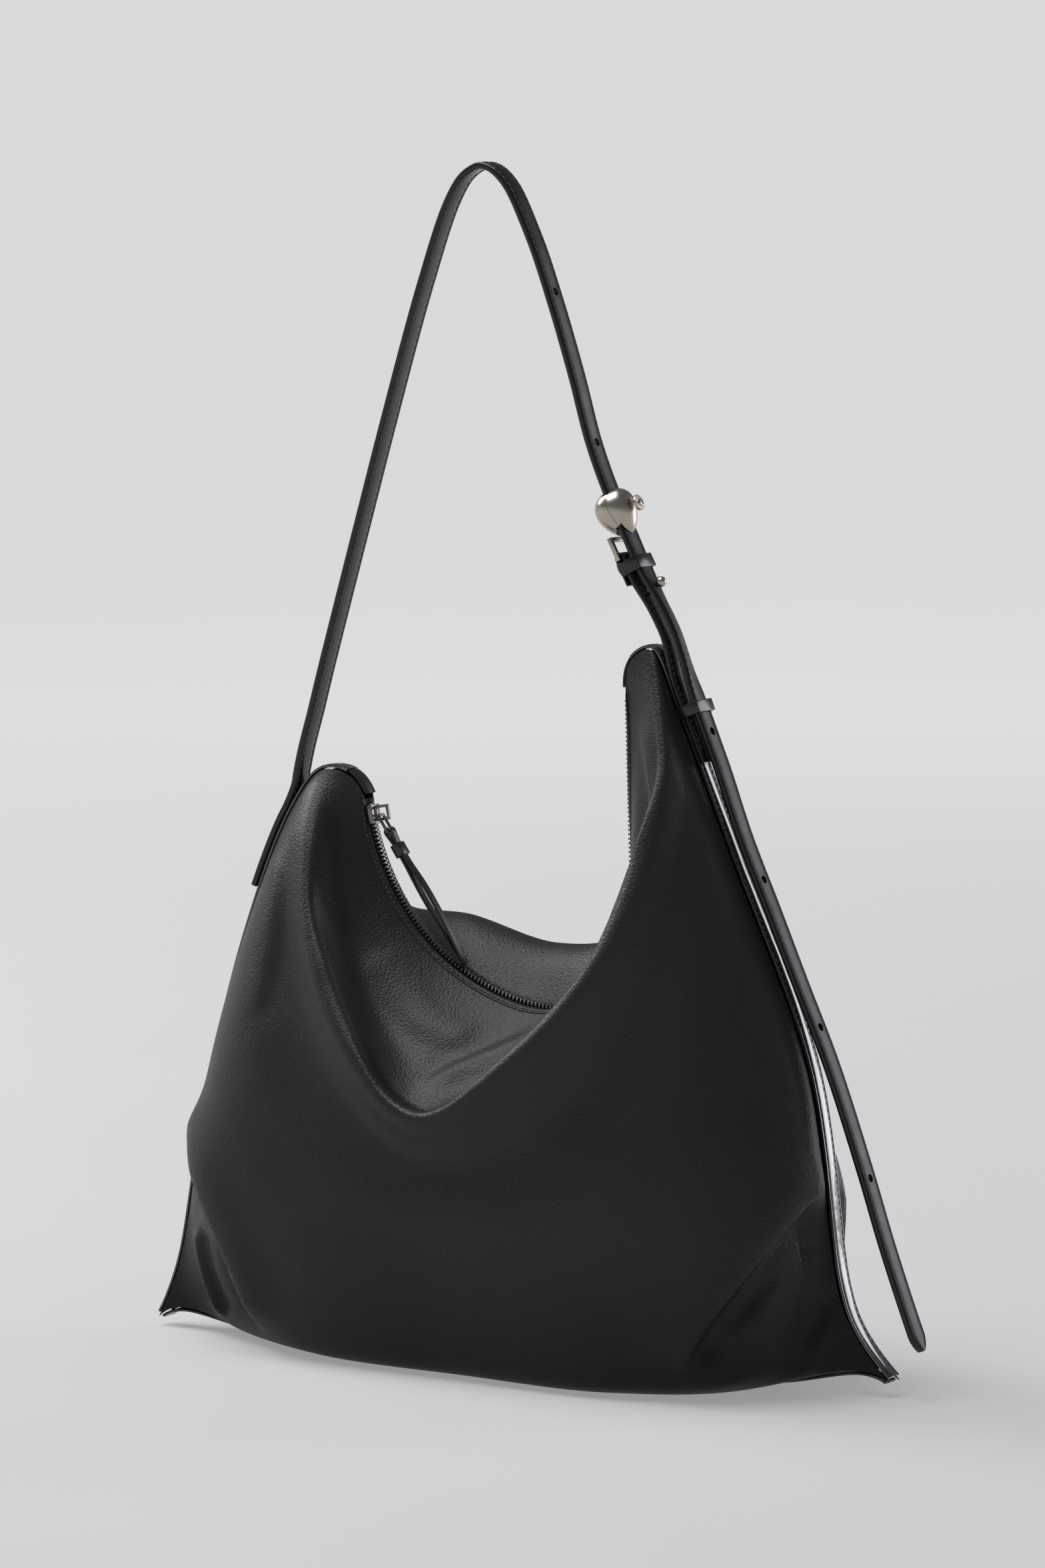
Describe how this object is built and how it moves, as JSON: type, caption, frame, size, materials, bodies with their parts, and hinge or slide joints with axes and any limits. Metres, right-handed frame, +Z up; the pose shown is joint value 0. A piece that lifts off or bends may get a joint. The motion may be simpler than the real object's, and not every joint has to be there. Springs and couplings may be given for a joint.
{
  "type": "hobo bag",
  "caption": "Slouchy leather shoulder bag with two panels, an edge strip, a curved zip, an adjustable strap with bead buckle, and a hanging strap tail.",
  "frame": {"origin": "middle of the bottom strip's underside, midway between the two bottom corners, on the floor", "axes": "+X along the bag from the left corner to the buckle side, front panel faces -Y, +Z up along the strap"},
  "size_m": [0.4998, 0.185, 0.6807],
  "materials": {
    "soft_leather": "matte fine-grained nappa",
    "polished_leather": "glossy polished with painted edges",
    "lining_cloth": "woven twill",
    "zip_tape": "herringbone woven tape",
    "zip_metal": "dark nickel plated",
    "satin_nickel": "satin nickel plated"
  },
  "bodies": {
    "bag": {"front_panel": "soft_leather", "back_panel": "soft_leather", "front_lining": "lining_cloth", "back_lining": "lining_cloth", "inner_pocket": "lining_cloth", "left_side_strip": "polished_leather", "right_side_strip": "polished_leather", "bottom_strip": "polished_leather", "zip_end_left": "soft_leather", "zip_end_right": "soft_leather", "left_strap_tab": "polished_leather", "right_strap_tab": "polished_leather", "lower_keeper": "polished_leather", "strap_in_keeper": "polished_leather", "zip_tape_front": "zip_tape", "zip_tape_back": "zip_tape", "zip_teeth_front": "zip_metal", "zip_teeth_back": "zip_metal"},
    "strap": {"long_strap": "polished_leather", "billet_strap": "polished_leather", "upper_keeper": "polished_leather", "buckle_ring": "satin_nickel", "bead_inner_half": "satin_nickel", "bead_outer_half": "satin_nickel", "bead_boss": "satin_nickel", "ball_stud": "satin_nickel"},
    "tail": {"strap_tail": "polished_leather"},
    "zip_slider": {"slider_body": "zip_metal", "slider_bridge": "zip_metal"},
    "zip_link": {"pull_link": "zip_metal"},
    "zip_pull": {"pull_strap": "polished_leather", "pull_collar": "polished_leather"}
  },
  "joints": [
    {"name": "strap_swing", "type": "hinge", "parent": "bag", "child": "strap", "pos_m": [-0.147, 0, 0.318], "axis": [0.9435, 0, 0.3313], "range_deg": [-60, 60]},
    {"name": "tail_swing", "type": "hinge", "parent": "bag", "child": "tail", "pos_m": [0.11846, 0, 0.37442], "axis": [0, -1, 0], "range_deg": [0, 40]},
    {"name": "zip_slide", "type": "hinge", "parent": "bag", "child": "zip_slider", "pos_m": [0.029, 0, 0.332], "axis": [0, -1, 0], "range_deg": [0, 26]},
    {"name": "link_swing", "type": "hinge", "parent": "zip_slider", "child": "zip_link", "pos_m": [-0.09193, 0, 0.3076], "axis": [0, -1, 0], "range_deg": [0, 60]},
    {"name": "pull_swing", "type": "hinge", "parent": "zip_link", "child": "zip_pull", "pos_m": [-0.08553, 0, 0.29816], "axis": [0, -1, 0], "range_deg": [0, 60]}
  ]
}
